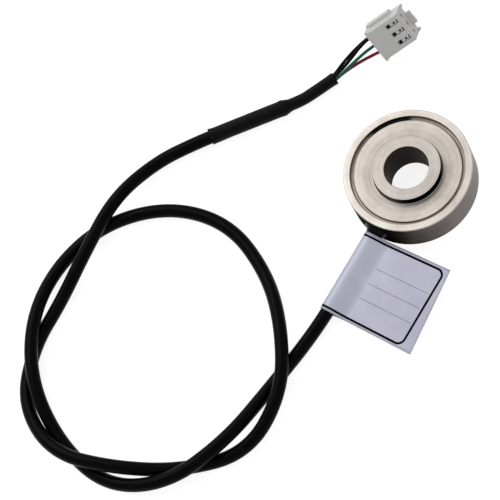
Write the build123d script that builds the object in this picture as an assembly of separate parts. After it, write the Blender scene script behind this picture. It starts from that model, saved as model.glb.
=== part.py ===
"""Through-hole ring load cell with its cable, folded cable label, shrink sleeve and crimp connector.

The ring is a turned spring element: a raised hub carries the load, a thin web joins it to the outer
rim, and four foil strain gauges sit under the web in a closed cavity. Millimetres. The origin is the
bore's axis on the seat plane, +Z is up through the bore, and the cable leaves the rim along -Y.
"""
import math
import os

from build123d import *

os.makedirs("parts", exist_ok=True)

# Turned body: outer sizes, then the walls and lands that follow them inwards
BODY_D = 32.0
HUB_H = 10.3
HUB_RISE = 1.3
RIM_LAND = 1.75
GROOVE_W = 0.85
RIM_WALL = 2.8
GAUGE_ROOM = 5.2
HUB_WALL = 2.5
HUB_SHOULDER = 0.5
RECESS_DEPTH = 0.6
GROOVE_DEPTH = 0.5
WEB_T = 1.6
SKIRT_LIFT = 0.2
CORNER_R = 0.8
HUB_FOOT_R = 0.5
GROOVE_BREAK = 0.2
EDGE_BREAK = 0.25
BORE_BREAK = 0.2

# Cover plate under the cavity, and the soft seal between it and the hub's skirt
COVER_LEDGE = 1.0
COVER_T = 0.8
COVER_RECESS = 0.3
COVER_GAP = 0.5
SEAL_INSET = 0.1

# Clearance between pieces that are bonded, crimped or shrunk together
BOND = 0.03
SLIP = 0.05

# Foil strain gauges under the web
GAUGE_ANGLES = (45.0, 135.0, 225.0, 315.0)
GAUGE_W = 2.8
GAUGE_EDGE = 0.2
FILM_T = 0.1
FOIL_T = 0.05
GRID_LINES = 5
GRID_LINE_W = 0.18

# Terminal board and its fine wiring
BOARD_SPAN = 54.0
BOARD_T = 0.5
BOARD_EDGE = 0.1
WIRE_W = 0.2
WIRE_T = 0.1
WIRE_EMBED = 0.2
TAB_ANGLE = 6.5
TAB_OFFSET = 0.8
JOINT_R = 0.3
PAD_ANGLE = 24.0
PAD_JOINT_R = 0.42
CORE_PITCH_ANGLE = 8.0

# Cable
CABLE_D = 3.4
CORE_D = 0.66
EXIT_HOLE_D = 4.0
EXIT_SHARE = 0.528
JACKET_INSIDE = 0.4
CORE_LANE_PITCH = 0.8
CORE_FAN_PITCH = 0.74
CORE_FAN_STAGGER = 0.2
CORE_BEND_R = 1.0
CORE_TURN_START = 288.0
CORE_STEPS = 5
END_GAP = 0.12

# Sealant round the cable at the rim
SEALANT_REACH = 1.05
SEALANT_WALL_R = 3.1
SEALANT_TIP_R = 2.2

# Folded label round the cable
LABEL_FROM_RIM = 1.35
LABEL_L = 21.7
LABEL_PLY = 0.12
LABEL_LOOSE = 0.18
LABEL_JOIN = 5.4
LABEL_NEAR_REACH = 21.6
LABEL_FAR_REACH = 23.6
LABEL_NEAR_SKEW = 1.4
LABEL_FAR_SKEW = 0.7
LABEL_LIFT = 0.3
LABEL_DROOP = 0.7

# Shrink sleeve over the jacket's end and the first part of the leads
SLEEVE_WALL = 0.25
SLEEVE_OVER_JACKET = 20.3
SLEEVE_LIP = 0.15
SLEEVE_LIP_L = 1.6
SLEEVE_THIN_D = 3.1
SLEEVE_NECK_L = 1.9
SLEEVE_TURN_RUN = 4.2
SLEEVE_STEP = 0.03
SLEEVE_END_LIP = 0.12
SLEEVE_END_LIP_L = 1.4

# Leads: pigtails joined to the cable's cores under the sleeve
LEAD_D = 0.82
CONDUCTOR_D = 0.34
BUNDLE_R = 0.62

# Three-way crimp housing. Local axes: m towards the mating end, w across the row, n out of the window face
WAYS = 3
PITCH = 2.5
HOUSING_L = 9.9
HOUSING_W = 8.3
HOUSING_T = 5.9
FLARE = 0.5
FLARE_L = 1.5
SIDE_RIB_W = 0.8
SIDE_RIB_T = 2.4
SIDE_RIB_L = 7.1
GUIDE_RIB_W = 0.7
GUIDE_RIB_H = 0.5
GUIDE_RIB_L = 7.0
GUIDE_RIB_OVERHANG = 0.4
TONGUE_W = 3.6
TONGUE_T = 1.2
TONGUE_OVERHANG = 1.2
CAVITY_W = 1.9
CAVITY_H = 2.8
WINDOW_WALL = 1.05
MATING_WALL = 0.8
PIN_HOLE = 0.9
WINDOW_START = 5.5
WINDOW_W = 1.15
HOUSING_X = -26.96
HOUSING_Y = 26.48
HOUSING_AZIMUTH = 52.0
HOUSING_PITCH = 23.2
HOUSING_ROLL = 45.6

# Crimp contacts
CONTACT_W = 1.5
CONTACT_H = 1.7
CONTACT_T = 0.2
BOX_L = 2.4
CONTACT_EYE_D = 0.55
CONTACT_EYE_FROM_TIP = 1.05
CRIMP_T = 0.15
INSULATION_CRIMP_L = 1.5
CONDUCTOR_CRIMP_L = 1.4
CRIMP_GAP = 0.5
CRANK_START = 5.5
INSULATION_END = 2.9
LEAD_ENTRY = -2.0

# Derived sizes: radii of the body from the rim inwards, its levels from the hub's top down, then the rest
BODY_R = BODY_D / 2
RIM_INNER_R = BODY_R - RIM_LAND
FLOOR_R = RIM_INNER_R - GROOVE_W
CAVITY_R = BODY_R - RIM_WALL
COVER_R = CAVITY_R + COVER_LEDGE
SKIRT_R = CAVITY_R - GAUGE_ROOM
HUB_R = SKIRT_R + HUB_SHOULDER
BORE_R = SKIRT_R - HUB_WALL
RIM_H = HUB_H - HUB_RISE
FLOOR_Z = RIM_H - RECESS_DEPTH
GROOVE_Z = FLOOR_Z - GROOVE_DEPTH
WEB_UNDER_Z = FLOOR_Z - WEB_T
COVER_STEP_Z = COVER_RECESS + COVER_T
EXIT_Z = RIM_H * EXIT_SHARE
MID_R = (SKIRT_R + CAVITY_R) / 2
FLAT_HALF = GAUGE_ROOM / 2 - CORNER_R
BOARD_UNDER_Z = WEB_UNDER_Z - BOARD_T
WIRE_UNDER_Z = BOARD_UNDER_Z - WIRE_T
CABLE_R = CABLE_D / 2
CORE_R = CORE_D / 2
LEAD_R = LEAD_D / 2
LABEL_START = BODY_R + LABEL_FROM_RIM
CAVITY_N = HOUSING_T / 2 - WINDOW_WALL - CAVITY_H / 2

# Cable route, chosen by hand: out of the rim, then nearly two loose turns on the table with five crossings
CABLE_ROUTE = [
    (0.0, -(CAVITY_R - JACKET_INSIDE), EXIT_Z + 0.2),
    (0.0, -28.6, 3.3),
    (0.0, -44.5, 1.8),
    (-2.0, -62.5, 1.7),
    (-2.7, -78.5, 5.2),
    (-9.1, -94.5, 5.2),
    (-23.4, -102.6, 1.7),
    (-40.0, -99.8, 1.7),
    (-54.3, -91.0, 5.2),
    (-64.2, -77.2, 5.4),
    (-68.3, -61.5, 1.7),
    (-63.6, -46.2, 1.7),
    (-51.0, -34.6, 1.7),
    (-34.8, -31.3, 1.7),
    (-19.2, -37.7, 1.7),
    (-6.9, -47.8, 5.4),
    (2.7, -61.7, 5.4),
    (2.5, -78.1, 1.7),
    (-9.5, -90.0, 1.7),
    (-23.3, -98.2, 5.2),
    (-39.2, -102.9, 5.2),
    (-54.8, -96.1, 1.7),
    (-61.0, -82.5, 1.7),
    (-61.6, -69.5, 1.9),
    (-62.2, -56.0, 5.2),
    (-63.8, -40.5, 5.4),
    (-61.3, -26.5, 1.95),
    (-54.6, -16.9, 2.2),
    (-47.1, -7.4, 2.1),
    (-40.1, 1.3, 2.05),
]

# Sleeve's middle and end past the jacket, and the leads' free points between the sleeve and the housing
SLEEVE_MIDDLE = (-36.0, 7.6, 1.6)
SLEEVE_END = (-32.9, 14.4, 1.75)
LEAD_ROUTES = {
    "lead_black_1": [(-32.6, 18.8, 3.5)],
    "lead_black_2": [(-31.4, 18.6, 3.6)],
    "lead_green": [(-30.5, 18.3, 2.7)],
    "lead_red": [(-30.2, 20.0, 2.0)],
}


def polar(radius, degrees, z):
    """Point at a radius and an angle round the bore's axis."""
    turn = math.radians(degrees)
    return (radius * math.cos(turn), radius * math.sin(turn), z)


def profile(points, rounds, breaks):
    """Closed half section in the XZ plane, with its rounds and broken edges at the named corners."""
    face = make_face(Polyline(*[(r, 0, z) for r, z in points], close=True)).face()
    for (r, z), radius in rounds:
        face = face.fillet_2d(radius, face.vertices().sort_by_distance((r, 0, z))[:1])
    for (r, z), length in breaks:
        face = face.chamfer_2d(length, length, face.vertices().sort_by_distance((r, 0, z))[:1])
    return face


def ring(inner_r, outer_r, low, high):
    """Flat ring between two radii and two heights."""
    disc = Pos(0, 0, low) * Cylinder(outer_r, high - low, align=(Align.CENTER, Align.CENTER, Align.MIN))
    hole = Pos(0, 0, low) * Cylinder(inner_r, high - low, align=(Align.CENTER, Align.CENTER, Align.MIN))
    return disc - hole


def rod(start, end, radius):
    """Round rod between two points."""
    a, b = Vector(*start), Vector(*end)
    along = b - a
    return Plane(origin=a, z_dir=along).location * Cylinder(
        radius, along.length, align=(Align.CENTER, Align.CENTER, Align.MIN)
    )


def smooth_path(points, name=None, first_r=None):
    """Straight runs joined by tangent arcs, each as large as its two runs allow unless the first is given."""
    radii = []
    for before, here, after in zip(points, points[1:], points[2:]):
        first, second = Vector(*here) - Vector(*before), Vector(*after) - Vector(*here)
        half_turn = math.radians(first.get_angle(second)) / 2
        radii.append(0.45 * min(first.length, second.length) / math.tan(half_turn))
    if first_r:
        radii[0] = first_r
    if name:
        print(name, "arc radii", [round(r, 1) for r in radii])
    return FilletPolyline(*points, radius=radii)


def tube_along(path, diameter, name=None):
    """Round bar swept along a path of runs and arcs, with its volume set against section times length."""
    section = Plane(origin=path @ 0, z_dir=path % 0) * Circle(diameter / 2)
    bar = sweep(section, path=path)
    if name:
        expected = math.pi * diameter**2 / 4 * path.length
        print(name, "length", round(path.length, 1), "volume ratio", round(bar.volume / expected, 4))
    return bar


def sensor_body():
    """Hub, web and rim turned in one piece, with the cable's hole drilled through the rim."""
    points = [
        (BORE_R, SKIRT_LIFT), (SKIRT_R, SKIRT_LIFT), (SKIRT_R, WEB_UNDER_Z), (CAVITY_R, WEB_UNDER_Z),
        (CAVITY_R, COVER_STEP_Z), (COVER_R, COVER_STEP_Z), (COVER_R, 0), (BODY_R, 0),
        (BODY_R, RIM_H), (RIM_INNER_R, RIM_H), (RIM_INNER_R, GROOVE_Z), (FLOOR_R, GROOVE_Z),
        (FLOOR_R, FLOOR_Z), (HUB_R, FLOOR_Z), (HUB_R, HUB_H), (BORE_R, HUB_H),
    ]
    rounds = [
        ((SKIRT_R, WEB_UNDER_Z), CORNER_R), ((CAVITY_R, WEB_UNDER_Z), CORNER_R),
        ((HUB_R, FLOOR_Z), HUB_FOOT_R),
    ]
    breaks = [
        ((BODY_R, 0), EDGE_BREAK), ((BODY_R, RIM_H), EDGE_BREAK), ((RIM_INNER_R, RIM_H), EDGE_BREAK / 2),
        ((RIM_INNER_R, GROOVE_Z), GROOVE_BREAK), ((FLOOR_R, GROOVE_Z), GROOVE_BREAK),
        ((FLOOR_R, FLOOR_Z), EDGE_BREAK / 2), ((HUB_R, HUB_H), EDGE_BREAK),
        ((BORE_R, HUB_H), BORE_BREAK), ((BORE_R, SKIRT_LIFT), BORE_BREAK),
    ]
    body = revolve(profile(points, rounds, breaks), axis=Axis.Z)
    hole = rod((0, -(CAVITY_R - CORNER_R), EXIT_Z), (0, -BODY_R - 1, EXIT_Z), EXIT_HOLE_D / 2)
    return body - hole


def base_cover():
    """Ring plate set into the step under the cavity, clear of the hub's skirt."""
    return ring(SKIRT_R + COVER_GAP, COVER_R - BOND, COVER_RECESS, COVER_STEP_Z)


def skirt_seal():
    """Soft ring that closes the gap between the cover and the hub's skirt."""
    low, high = COVER_RECESS + SEAL_INSET, COVER_STEP_Z - SEAL_INSET
    return ring(SKIRT_R + BOND, SKIRT_R + COVER_GAP - BOND, low, high)


def strain_gauge(angle):
    """Foil gauge: a film bonded under the web with a folded grid of fine lines on it."""
    length = 2 * (FLAT_HALF - GAUGE_EDGE)
    film = Box(length, GAUGE_W, FILM_T, align=(Align.CENTER, Align.CENTER, Align.MAX))
    grid_l, grid_w = length * 0.72, GAUGE_W * 0.5
    step = grid_w / (GRID_LINES - 1)
    gauge = film
    top = Pos(0, 0, -FILM_T)
    for i in range(GRID_LINES):
        line = Box(grid_l, GRID_LINE_W, FOIL_T, align=(Align.CENTER, Align.CENTER, Align.MAX))
        gauge += top * Pos(0, -grid_w / 2 + i * step, 0) * line
    for i in range(GRID_LINES - 1):
        end = grid_l / 2 if i % 2 else -grid_l / 2
        turn = Box(GRID_LINE_W, step + GRID_LINE_W, FOIL_T, align=(Align.CENTER, Align.CENTER, Align.MAX))
        gauge += top * Pos(end, -grid_w / 2 + (i + 0.5) * step, 0) * turn
    return Rot(0, 0, angle) * Pos(MID_R, 0, WEB_UNDER_Z) * gauge


def terminal_board():
    """Curved board bonded flat under the web, beside the two gauges nearest to it."""
    inner, outer = MID_R - FLAT_HALF + BOARD_EDGE, MID_R + FLAT_HALF - BOARD_EDGE
    full = ring(inner, outer, BOARD_UNDER_Z, WEB_UNDER_Z)
    half = BOARD_SPAN / 2
    reach = 2 * BODY_R
    wedge = make_face(Polyline((0, 0), polar(reach, -half, 0)[:2], polar(reach, half, 0)[:2], close=True))
    return full & Pos(0, 0, BOARD_UNDER_Z) * extrude(wedge, BOARD_T)


def wire_plan():
    """Fine wires that close the bridge: each is (distance off the middle radius, angles of its two joints)."""
    first, second, third, fourth = GAUGE_ANGLES
    near, far = -TAB_OFFSET, TAB_OFFSET
    pad = PAD_ANGLE
    return [
        (near, first + TAB_ANGLE, second - TAB_ANGLE),
        (near, second + TAB_ANGLE, third - TAB_ANGLE),
        (near, third + TAB_ANGLE, fourth - TAB_ANGLE),
        (0.0, pad, first - TAB_ANGLE),
        (near, pad, first - TAB_ANGLE),
        (0.0, fourth + TAB_ANGLE, 360 - pad),
        (near, fourth + TAB_ANGLE, 360 - pad),
        (far, pad, second + TAB_ANGLE),
    ]


def joint_turn(joint_r, radius):
    """Angle between a joint's centre and the end of the wire that meets it."""
    return math.degrees((joint_r + BOND) / radius)


def bridge_wires():
    """Flat ribbon wires between the gauges and the board, each a level arc round the cavity."""
    wires = []
    for offset, first, last in wire_plan():
        radius = MID_R + offset
        start, end = first + joint_turn(JOINT_R, radius), last - joint_turn(JOINT_R, radius)
        angles = (start, (start + end) / 2, end)
        outer = ThreePointArc(*[polar(radius + WIRE_W / 2, angle, WIRE_UNDER_Z) for angle in angles])
        inner = ThreePointArc(*[polar(radius - WIRE_W / 2, angle, WIRE_UNDER_Z) for angle in angles])
        outline = make_face([outer, Line(outer @ 1, inner @ 1), inner, Line(inner @ 0, outer @ 0)])
        wires.append(extrude(outline, WIRE_T, dir=(0, 0, 1)))
    return wires


def core_ends():
    """Where the cable's four cores meet the board: lane radius and pad angle of each."""
    ends = []
    for i in range(4):
        lane = MID_R + (i - 1.5) * CORE_LANE_PITCH
        ends.append((lane, (i - 1.5) * CORE_PITCH_ANGLE))
    return ends


def bundle_offset(i):
    """Place of lead i in the bundle inside the sleeve: left, top, right and bottom in turn."""
    turn = math.pi - i * math.pi / 2
    return BUNDLE_R * math.cos(turn), BUNDLE_R * math.sin(turn)


def cable_cores():
    """Four cores from the jacket's inner end, round a bend and along the cavity, up to the board's pads."""
    start_y, start_z = CABLE_ROUTE[0][1:]
    pad_z = BOARD_UNDER_Z - CORE_R - BOND
    cores = []
    for i, (lane, pad_angle) in enumerate(core_ends()):
        side = (i - 1.5) * CORE_FAN_PITCH
        level = start_z + (CORE_FAN_STAGGER if i % 2 else -CORE_FAN_STAGGER)
        bend = CORE_BEND_R + (3 - i) * CORE_FAN_PITCH
        turn_y = start_y + 2 * END_GAP + 0.75 * bend
        rise = pad_z - level
        points = [(side, start_y + END_GAP, level), (side, turn_y, level)]
        span = 360.0 + pad_angle - joint_turn(PAD_JOINT_R, lane) - CORE_TURN_START
        for k in range(1, CORE_STEPS + 1):
            share = k / CORE_STEPS
            points.append(polar(lane, CORE_TURN_START + span * share, level + rise * share**2))
        cores.append(tube_along(smooth_path(points, first_r=bend), CORE_D))
    return cores


def solder_joints():
    """Small eight-sided beads of solder that the ends of the wires and of the cores run into."""
    places = []
    for offset, first, last in wire_plan():
        for angle in (first, last):
            on_board = abs((angle + 180) % 360 - 180) <= BOARD_SPAN / 2
            top = BOARD_UNDER_Z if on_board else WEB_UNDER_Z - FILM_T
            places.append((MID_R + offset, angle, top, WIRE_UNDER_Z - WIRE_EMBED, JOINT_R))
    for lane, pad_angle in core_ends():
        places.append((lane, pad_angle, BOARD_UNDER_Z, BOARD_UNDER_Z - CORE_D, PAD_JOINT_R))
    joints = []
    for radius, angle, top, bottom, joint_r in places:
        foot = RegularPolygon(joint_r, 8, major_radius=False, rotation=22.5)
        head = RegularPolygon(joint_r * 0.7, 8, major_radius=False, rotation=22.5)
        bead = loft([foot, Pos(0, 0, bottom - top) * head], ruled=True)
        joints.append(Pos(*polar(radius, angle, top)) * Rot(0, 0, angle) * bead)
    return joints


def cable_seal(body, jacket):
    """Black sealant that fills the drilled hole round the cable and stands out of the rim as a collar."""
    fill = rod((0, -CAVITY_R, EXIT_Z), (0, -BODY_R, EXIT_Z), EXIT_HOLE_D / 2)
    collar_l = SEALANT_REACH + BODY_R - math.sqrt(BODY_R**2 - SEALANT_WALL_R**2)
    tip = -BODY_R - SEALANT_REACH
    collar = Pos(0, tip, EXIT_Z) * Rot(-90, 0, 0) * Cone(
        SEALANT_TIP_R, SEALANT_WALL_R, collar_l, align=(Align.CENTER, Align.CENTER, Align.MIN)
    )
    bead = (fill + collar) - body
    inside = Cylinder(CAVITY_R, 2 * RIM_H)
    return bead - inside - jacket


def label_plane():
    """Section plane of the label: origin on the cable's axis where the label starts, Z along the cable."""
    start, end = Vector(*CABLE_ROUTE[0]), Vector(*CABLE_ROUTE[2])
    along = (end - start).normalized()
    origin = start + along * ((LABEL_START + start.Y) / -along.Y)
    return Plane(origin=origin, x_dir=(1, 0, 0), z_dir=along)


def label_section():
    """Film folded round the cable: a loose loop, two plies that close on each other and a flag that droops."""
    inner = CABLE_R + LABEL_LOOSE
    outer = inner + LABEL_PLY
    reach = max(LABEL_NEAR_REACH, LABEL_FAR_REACH) + LABEL_NEAR_SKEW
    flag = (reach, LABEL_LIFT - LABEL_DROOP)
    join = (LABEL_JOIN, LABEL_LIFT)
    level = (1, 0)
    fall = (1, -0.08)

    def ply(radius, offset):
        """Curve from the loop's top or bottom to the flag's free edge."""
        loop = Spline((0, radius), (join[0], join[1] + offset), tangents=(level, level))
        flat = Spline((join[0], join[1] + offset), (flag[0], flag[1] + offset), tangents=(level, fall))
        return loop, flat

    top_loop, top_flag = ply(outer, LABEL_PLY)
    low_loop, low_flag = ply(-outer, -LABEL_PLY)
    edge = Line(top_flag @ 1, low_flag @ 1)
    back = ThreePointArc((0, outer), (-outer, 0), (0, -outer))
    film = make_face([top_loop, top_flag, edge, low_flag, low_loop, back])
    inner_join = (join[0] - LABEL_PLY, join[1])
    top_in = Spline((0, inner), inner_join, tangents=(level, level))
    low_in = Spline((0, -inner), inner_join, tangents=(level, level))
    back_in = ThreePointArc((0, inner), (-inner, 0), (0, -inner))
    return film - make_face([top_in, low_in, back_in])


def cable_label():
    """Label: the folded section run along the cable, its flag trimmed to a slightly skewed rectangle."""
    film = extrude(label_section(), LABEL_L + LABEL_NEAR_SKEW)
    film = Pos(0, 0, -LABEL_NEAR_SKEW) * film
    loop = CABLE_R + LABEL_LOOSE + LABEL_PLY + 1
    outline = make_face(Polyline(
        (-loop, 0), (0, 0), (LABEL_NEAR_REACH, -LABEL_NEAR_SKEW),
        (LABEL_FAR_REACH, LABEL_L - LABEL_FAR_SKEW), (0, LABEL_L), (-loop, LABEL_L), close=True,
    ))
    trim = Rot(90, 0, 0) * extrude(outline, 20, both=True)
    return label_plane().location * (film & trim)


def cross_frame(origin, along):
    """Plane across a direction, with its X level and to the right of travel and its Y upwards."""
    right = along.cross(Vector(0, 0, 1)).normalized()
    return Plane(origin=origin, x_dir=right, z_dir=-along)


def bundle_corners():
    """Corners of the leads' bundle from the jacket's end to the sleeve's end, each with its direction."""
    before, end = Vector(*CABLE_ROUTE[-2]), Vector(*CABLE_ROUTE[-1])
    middle, final = Vector(*SLEEVE_MIDDLE), Vector(*SLEEVE_END)
    along = (end - before).normalized()
    turn = end + along * SLEEVE_TURN_RUN
    to_middle, to_end = (middle - turn).normalized(), (final - middle).normalized()
    directions = [along, (along + to_middle).normalized(), (to_middle + to_end).normalized(), to_end]
    return list(zip([end, turn, middle, final], directions))


def last_stretch(path, length):
    """The last part of a path of runs and arcs, of a given length."""
    kept = []
    for edge in reversed(path.edges()):
        if edge.length >= length:
            kept.append(edge.trim(1 - length / edge.length, 1.0))
            break
        kept.append(edge)
        length -= edge.length
    return Wire(list(reversed(kept)))


def cone_along(start, along, start_r, end_r, length):
    """Cone from a point along a direction."""
    cone = Cone(start_r, end_r, length, align=(Align.CENTER, Align.CENTER, Align.MIN))
    return Plane(origin=start, z_dir=along).location * cone


def shrink_sleeve(route):
    """Shrunk tube: close over the jacket, then a neck and a thinner part round the leads."""
    over_jacket = last_stretch(route, SLEEVE_OVER_JACKET)
    past_jacket = smooth_path([tuple(corner) for corner, _ in bundle_corners()])
    wide, thin = CABLE_R + SLIP + SLEEVE_WALL, SLEEVE_THIN_D / 2
    outside = tube_along(over_jacket, 2 * wide) + tube_along(past_jacket, 2 * thin)
    step = SLEEVE_STEP
    outside += cone_along(over_jacket @ 0, over_jacket % 0, wide + SLEEVE_LIP, wide + step, SLEEVE_LIP_L)
    outside += cone_along(past_jacket @ 0, past_jacket % 0, wide - step, thin + step, SLEEVE_NECK_L)
    end_lip = thin + SLEEVE_END_LIP
    outside += cone_along(past_jacket @ 1, -(past_jacket % 1), end_lip, thin + step, SLEEVE_END_LIP_L)
    bore = tube_along(over_jacket, 2 * (CABLE_R + SLIP))
    return outside - bore - tube_along(past_jacket, 2 * (thin - SLEEVE_WALL))


def housing_frame(solid):
    """Placed axes of the housing, turned as it lies and lowered until its lowest corner meets the table."""
    azimuth, pitch, roll = (math.radians(a) for a in (HOUSING_AZIMUTH, HOUSING_PITCH, HOUSING_ROLL))
    m = Vector(math.cos(pitch) * math.cos(azimuth), math.cos(pitch) * math.sin(azimuth), math.sin(pitch))
    level = Vector(-math.sin(azimuth), math.cos(azimuth), 0)
    up = m.cross(level)
    n = level * -math.sin(roll) + up * math.cos(roll)
    low = solid.moved(Plane(origin=(0, 0, 0), x_dir=m, z_dir=n).location).bounding_box().min.Z
    return Plane(origin=(HOUSING_X, HOUSING_Y, -low), x_dir=m, z_dir=n)


def block(m_range, w_range, n_range):
    """Box between two values along each of the housing's axes."""
    size = [b - a for a, b in (m_range, w_range, n_range)]
    centre = [(a + b) / 2 for a, b in (m_range, w_range, n_range)]
    return Pos(*centre) * Box(*size)


def way_places():
    """Places of the cavities across the row, the first one highest."""
    return [((WAYS - 1) / 2 - i) * PITCH for i in range(WAYS)]


def housing_solid():
    """Moulded housing in its own axes: cavities, contact windows, pin holes, side ribs, guide ribs and tongue."""
    half_w, half_t = HOUSING_W / 2, HOUSING_T / 2
    shell = block((0, HOUSING_L), (-half_w, half_w), (-half_t, half_t))
    flare = make_face(Polyline(
        (0, -half_w - FLARE), (FLARE_L, -half_w), (FLARE_L, half_w), (0, half_w + FLARE), close=True,
    ))
    shell += Pos(0, 0, -half_t) * extrude(flare, HOUSING_T)
    rib_w = half_w + SIDE_RIB_W
    shell += block((0, SIDE_RIB_L), (-rib_w, rib_w), (-half_t, -half_t + SIDE_RIB_T))
    shell += block(
        (HOUSING_L - 1, HOUSING_L + TONGUE_OVERHANG), (-TONGUE_W / 2, TONGUE_W / 2), (-half_t, -half_t + TONGUE_T)
    )
    for side in (-1, 1):
        edges = sorted((side * half_w, side * (half_w - GUIDE_RIB_W)))
        start = HOUSING_L - GUIDE_RIB_L
        levels = (-half_t - GUIDE_RIB_H, -half_t + GUIDE_RIB_W)
        shell += block((start, HOUSING_L + GUIDE_RIB_OVERHANG), edges, levels)
    low, high = CAVITY_N - CAVITY_H / 2, CAVITY_N + CAVITY_H / 2
    inner_end = HOUSING_L - MATING_WALL
    pin, window, half = PIN_HOLE / 2, WINDOW_W / 2, CAVITY_W / 2
    for w in way_places():
        shell -= block((-1, inner_end), (w - half, w + half), (low, high))
        shell -= block((0, HOUSING_L + 1), (w - pin, w + pin), (CAVITY_N - pin, CAVITY_N + pin))
        shell -= block((WINDOW_START, inner_end), (w - window, w + window), (CAVITY_N, half_t + 1))
    return shell


def contact_rest():
    """Level of the contacts' axis in the cavity, with their box against the window wall."""
    return CAVITY_N + CAVITY_H / 2 - SLIP - CONTACT_H / 2


def lead_count(way):
    """Leads in one cavity: two, one on the other, in the first and one in the others."""
    return 2 if way == 0 else 1


def crimp_floor(way):
    """Level of the crimp's floor: on the cavity's floor where it holds two leads, else the box's own."""
    box_floor = contact_rest() - CONTACT_H / 2
    return CAVITY_N - CAVITY_H / 2 + SLIP if lead_count(way) > 1 else box_floor


def lead_level(way, number):
    """Height of a lead's axis in its crimp, counted from the crimp's floor up."""
    return crimp_floor(way) + CRIMP_T + BOND + LEAD_R + number * (LEAD_D + BOND)


def crimp_contact(way):
    """Stamped contact: open box with its eye, floor strip, conductor crimp and insulation crimp."""
    w = way_places()[way]
    n = contact_rest()
    half_w, half_h, t = CONTACT_W / 2, CONTACT_H / 2, CONTACT_T
    tip = HOUSING_L - MATING_WALL - SLIP
    rear = tip - BOX_L
    box = block((rear, tip), (w - half_w, w + half_w), (n - half_h, n + half_h))
    box -= block((rear - 1, tip + 1), (w - half_w + t, w + half_w - t), (n - half_h + t, n + half_h - t))
    eye = Pos(tip - CONTACT_EYE_FROM_TIP, w, n + half_h) * Cylinder(CONTACT_EYE_D / 2, 3 * t)
    box -= eye
    grip_end = INSULATION_END
    grip_start = grip_end - INSULATION_CRIMP_L
    hold_start = grip_end + CRIMP_GAP
    hold_end = hold_start + CONDUCTOR_CRIMP_L
    low, box_floor = crimp_floor(way), n - half_h
    strip_w = (w - LEAD_R - BOND, w + LEAD_R + BOND)
    crank_end = CRANK_START + CRIMP_T
    solid = box + block((grip_start, crank_end), strip_w, (low, low + CRIMP_T))
    solid += block((CRANK_START, crank_end), strip_w, (low, box_floor + CRIMP_T))
    solid += block((CRANK_START, rear + t), strip_w, (box_floor, box_floor + CRIMP_T))
    first, last = lead_level(way, 0), lead_level(way, lead_count(way) - 1)

    def barrel(start, end, wire_r):
        """Crimped barrel round one or two wires, standing on the floor strip."""
        gap_w = wire_r + BOND
        outer_w = gap_w + CRIMP_T
        wall = block((start, end), (w - outer_w, w + outer_w), (low, last + gap_w + CRIMP_T))
        return wall - block((start - 1, end + 1), (w - gap_w, w + gap_w), (first - gap_w, last + gap_w))

    solid += barrel(grip_start, grip_end, LEAD_R)
    solid += barrel(hold_start, hold_end, CONDUCTOR_D / 2)
    return solid


def lead(name, index, way, number, frame):
    """Lead from the jacket's end through the sleeve to its crimp, with the bared conductor at its tip."""
    offset = bundle_offset(index)
    points = [tuple(cross_frame(*corner).from_local_coords((*offset, 0))) for corner in bundle_corners()]
    points[0] = tuple(Vector(*points[0]) + bundle_corners()[0][1] * BOND)
    points += LEAD_ROUTES[name]
    w = way_places()[way]
    level = lead_level(way, number)
    bared = INSULATION_END + CRIMP_GAP + CONDUCTOR_CRIMP_L + CRIMP_GAP / 2
    entry, end, tip = (tuple(frame.from_local_coords((m, w, level))) for m in (LEAD_ENTRY, INSULATION_END, bared))
    points += [entry, end]
    insulation = tube_along(smooth_path(points, name), LEAD_D, name)
    return insulation + rod(end, tip, CONDUCTOR_D / 2)


def save(name, shape):
    """Writes one node's solids to its STEP file."""
    if isinstance(shape, (list, tuple)):
        shape = Compound(children=[s for piece in shape for s in piece.solids()])
    export_step(shape, f"parts/{name}.step")
    print(name, "solids", len(shape.solids()), "volume", round(shape.volume, 2))


def main():
    """Builds every piece and writes it."""
    body = sensor_body()
    route = smooth_path(CABLE_ROUTE, "cable_jacket")
    jacket = tube_along(route, CABLE_D, "cable_jacket")
    save("sensor_body", body)
    save("base_cover", base_cover())
    save("skirt_seal", skirt_seal())
    for number, angle in enumerate(GAUGE_ANGLES, 1):
        save(f"strain_gauge_{number}", strain_gauge(angle))
    save("terminal_board", terminal_board())
    save("bridge_wires", bridge_wires())
    for name, core in zip(("core_black_1", "core_black_2", "core_green", "core_red"), cable_cores()):
        save(name, core)
    save("solder_joints", solder_joints())
    save("cable_jacket", jacket)
    save("cable_seal", cable_seal(body, jacket))
    save("cable_label", cable_label())
    save("shrink_sleeve", shrink_sleeve(route))
    housing = housing_solid()
    frame = housing_frame(housing)
    print("housing origin", frame.origin)
    save("connector_housing", frame.location * housing)
    for way in range(WAYS):
        save(f"crimp_contact_{way + 1}", frame.location * crimp_contact(way))
    index = 0
    names = [["lead_black_1", "lead_black_2"], ["lead_green"], ["lead_red"]]
    for way in range(WAYS):
        for number, name in enumerate(names[way]):
            save(name, lead(name, index, way, number, frame))
            index += 1


main()
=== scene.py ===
"""Looks for a through-hole ring load cell: turned ring, black cable, blank label, sleeve and connector."""
import math

import bmesh
import bpy
from mathutils import Matrix, Vector, noise


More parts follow.
